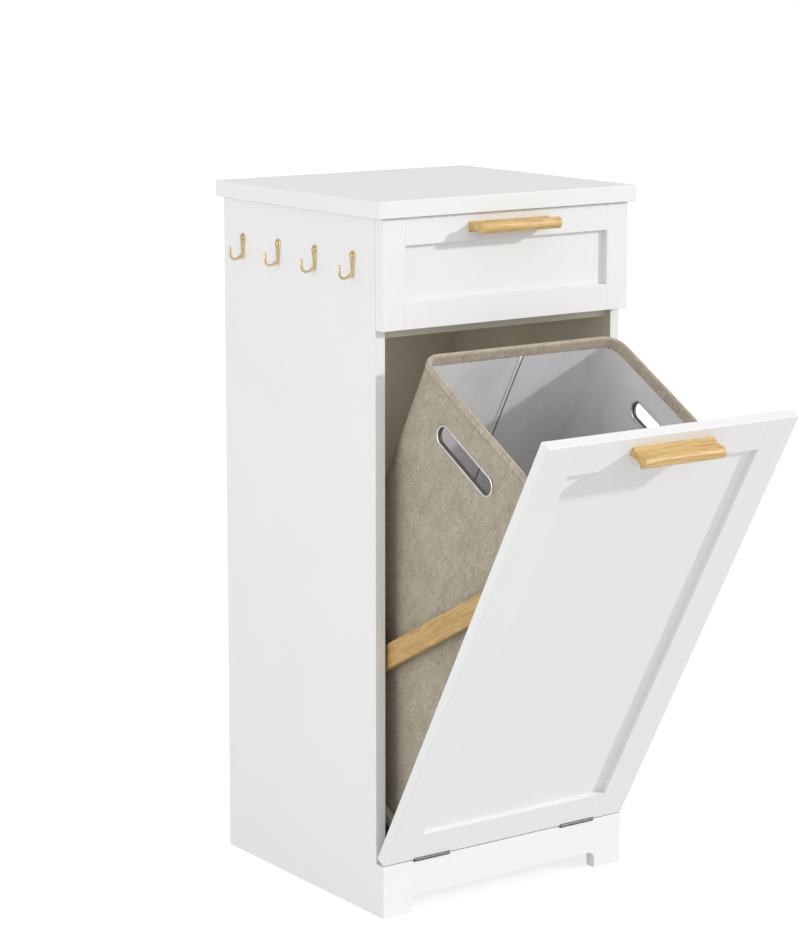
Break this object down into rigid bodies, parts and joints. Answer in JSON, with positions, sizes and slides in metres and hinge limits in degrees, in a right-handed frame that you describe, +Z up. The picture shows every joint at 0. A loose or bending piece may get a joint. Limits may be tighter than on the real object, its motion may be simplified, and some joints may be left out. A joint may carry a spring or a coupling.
{
  "type": "tilt-out laundry hamper cabinet",
  "caption": "Tall white cabinet with a drawer above a door that tilts forward on bottom hinges, carrying a lift-out fabric hamper; hooks for towels on one side.",
  "frame": {"origin": "on the floor, in the middle of the bottom rear edge of the cabinet, where the rear plinth's back face meets the floor", "axes": "+Z up, +Y to the back towards the wall, +X to the right of a person facing the front; the fronts lie at y = -0.376 m and the door is stored open"},
  "size_m": [0.4331, 0.7355, 0.938],
  "materials": {
    "white_paint": "satin white lacquer on fibreboard",
    "greige_board": "matt greige melamine on fibreboard",
    "golden_wood": "oiled natural wood",
    "dowel_wood": "bare wood",
    "brass": "polished",
    "steel": "satin nickel plated",
    "zinc_steel": "zinc plated",
    "ring_metal": "satin plated",
    "rubber": "matt",
    "white_plastic": "matt",
    "linen_fabric": "heathered linen weave on a stiff board",
    "binding_fabric": "folded woven tape",
    "lining_fabric": "smooth non-woven lining"
  },
  "bodies": {
    "cabinet": {"left_side_panel": "white_paint", "right_side_panel": "white_paint", "top_panel": "white_paint", "bottom_panel": "greige_board", "divider_shelf": "greige_board", "back_panel": "greige_board", "rear_stretcher": "greige_board", "rear_plinth": "white_paint", "front_plinth": "white_paint", "hinge_plinth_leaves": "steel", "hinge_pins": "steel", "hinge_plinth_screws": "steel", "door_stop_pins": "steel", "door_stop_sleeves": "rubber", "magnetic_catch": "white_plastic", "runner_cabinet_members": "zinc_steel", "coat_hook_1": "brass", "coat_hook_2": "brass", "coat_hook_3": "brass", "coat_hook_4": "brass", "coat_hook_screws": "brass", "cam_fittings": "zinc_steel", "top_dowels": "dowel_wood"},
    "door": {"door_left_stile": "white_paint", "door_right_stile": "white_paint", "door_upper_rail": "white_paint", "door_lower_rail": "white_paint", "door_panel": "white_paint", "door_handle": "golden_wood", "door_handle_screws": "steel", "hinge_door_leaves": "steel", "hinge_door_screws": "steel", "tray_board": "greige_board", "left_brace": "golden_wood", "right_brace": "golden_wood", "brace_screws": "steel", "brace_cleats": "greige_board", "strike_plate": "steel", "door_bumpers": "rubber"},
    "hamper": {"hamper_body": "linen_fabric", "hamper_lining": "lining_fabric", "hamper_rim_binding": "binding_fabric", "hamper_base_board": "lining_fabric", "hamper_left_grip_ring": "ring_metal", "hamper_right_grip_ring": "ring_metal"},
    "drawer": {"drawer_front_left_stile": "white_paint", "drawer_front_right_stile": "white_paint", "drawer_front_upper_rail": "white_paint", "drawer_front_lower_rail": "white_paint", "drawer_front_panel": "white_paint", "drawer_handle": "golden_wood", "drawer_handle_screws": "steel", "drawer_left_side": "greige_board", "drawer_right_side": "greige_board", "drawer_box_front": "greige_board", "drawer_back": "greige_board", "drawer_bottom": "greige_board", "runner_drawer_members": "zinc_steel"},
    "runner_left": {"runner_left_middle_member": "zinc_steel"},
    "runner_right": {"runner_right_middle_member": "zinc_steel"}
  },
  "joints": [
    {"name": "door_tilt", "type": "hinge", "parent": "cabinet", "child": "door", "pos_m": [0, -0.376, 0.0704], "axis": [1, 0, 0], "range_deg": [-29.25, 0]},
    {"name": "hamper_lift", "type": "slide", "parent": "door", "child": "hamper", "axis": [0, -0.4886, 0.8725], "range_m": [0, 0.045]},
    {"name": "drawer_slide", "type": "slide", "parent": "cabinet", "child": "drawer", "axis": [0, -1, 0], "range_m": [0, 0.25]},
    {"name": "runner_left_slide", "type": "slide", "parent": "cabinet", "child": "runner_left", "axis": [0, -1, 0], "range_m": [0, 0.125]},
    {"name": "runner_right_slide", "type": "slide", "parent": "cabinet", "child": "runner_right", "axis": [0, -1, 0], "range_m": [0, 0.125]}
  ],
  "couplings": [
    {"joint": "runner_left_slide", "follows": "drawer_slide", "ratio": 0.5},
    {"joint": "runner_right_slide", "follows": "drawer_slide", "ratio": 0.5}
  ]
}
